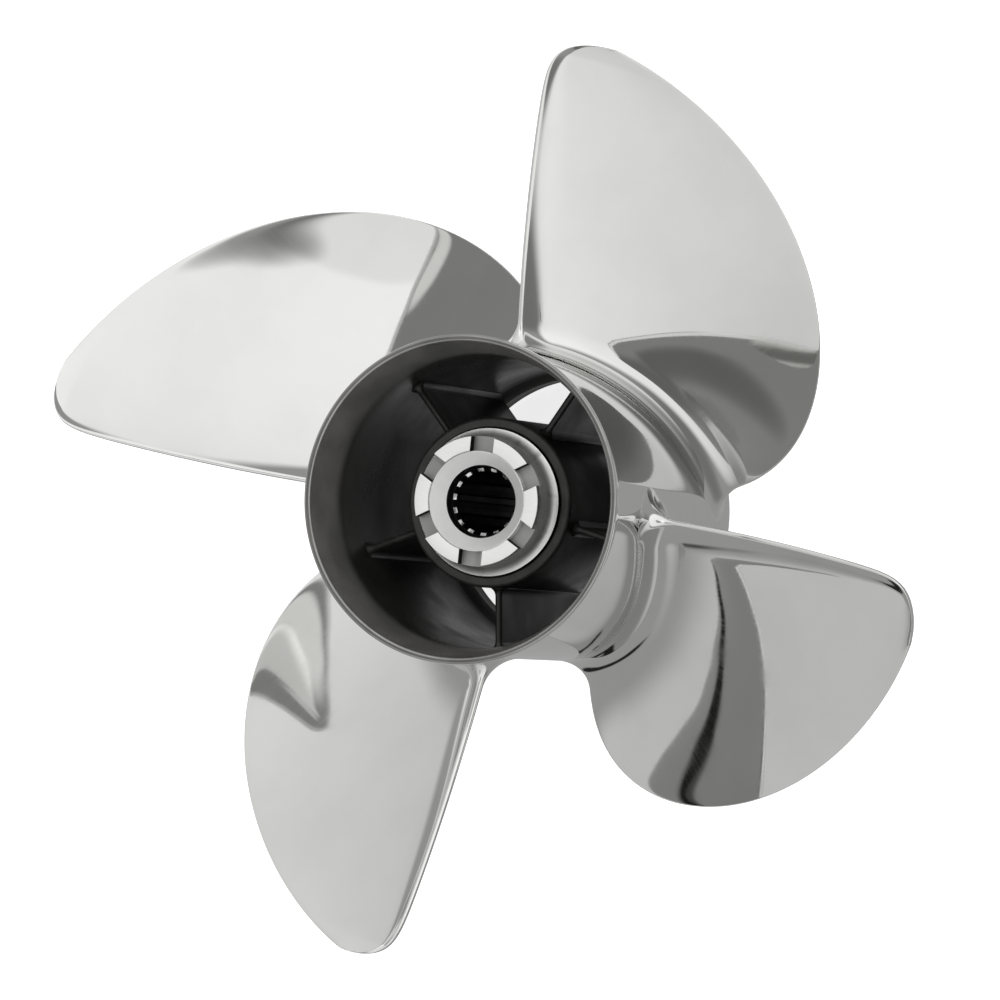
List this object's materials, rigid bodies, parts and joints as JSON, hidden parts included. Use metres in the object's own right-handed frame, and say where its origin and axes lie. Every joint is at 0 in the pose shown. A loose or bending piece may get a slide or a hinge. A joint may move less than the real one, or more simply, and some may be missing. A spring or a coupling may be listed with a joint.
{
  "type": "boat propeller",
  "caption": "Polished boat propeller: swept, raked blades on a flared exhaust barrel, with a ribbed inner hub, rubber bushing, splined drive sleeve and castellated collar.",
  "frame": {"origin": "on the shaft axis, in the plane of the barrel's forward rim, which rests on the floor", "axes": "+Z along the shaft axis towards the aft end, +X through the tip of blade_1, +Y by the right-hand rule"},
  "size_m": [0.362, 0.362, 0.158],
  "materials": {
    "polished_stainless": "mirror polished stainless steel",
    "cast_stainless": "dark as-cast stainless steel",
    "machined_steel": "bright machined steel",
    "bushing_rubber": "matt black rubber"
  },
  "bodies": {
    "root": {"blade_1": "polished_stainless", "blade_2": "polished_stainless", "blade_3": "polished_stainless", "blade_4": "polished_stainless", "castle_collar": "machined_steel", "hub_barrel": "polished_stainless", "inner_hub": "cast_stainless", "rib_1": "cast_stainless", "rib_2": "cast_stainless", "rib_3": "cast_stainless", "rib_4": "cast_stainless", "rib_5": "cast_stainless", "rubber_bushing": "bushing_rubber", "spline_sleeve": "machined_steel"}
  },
  "joints": []
}
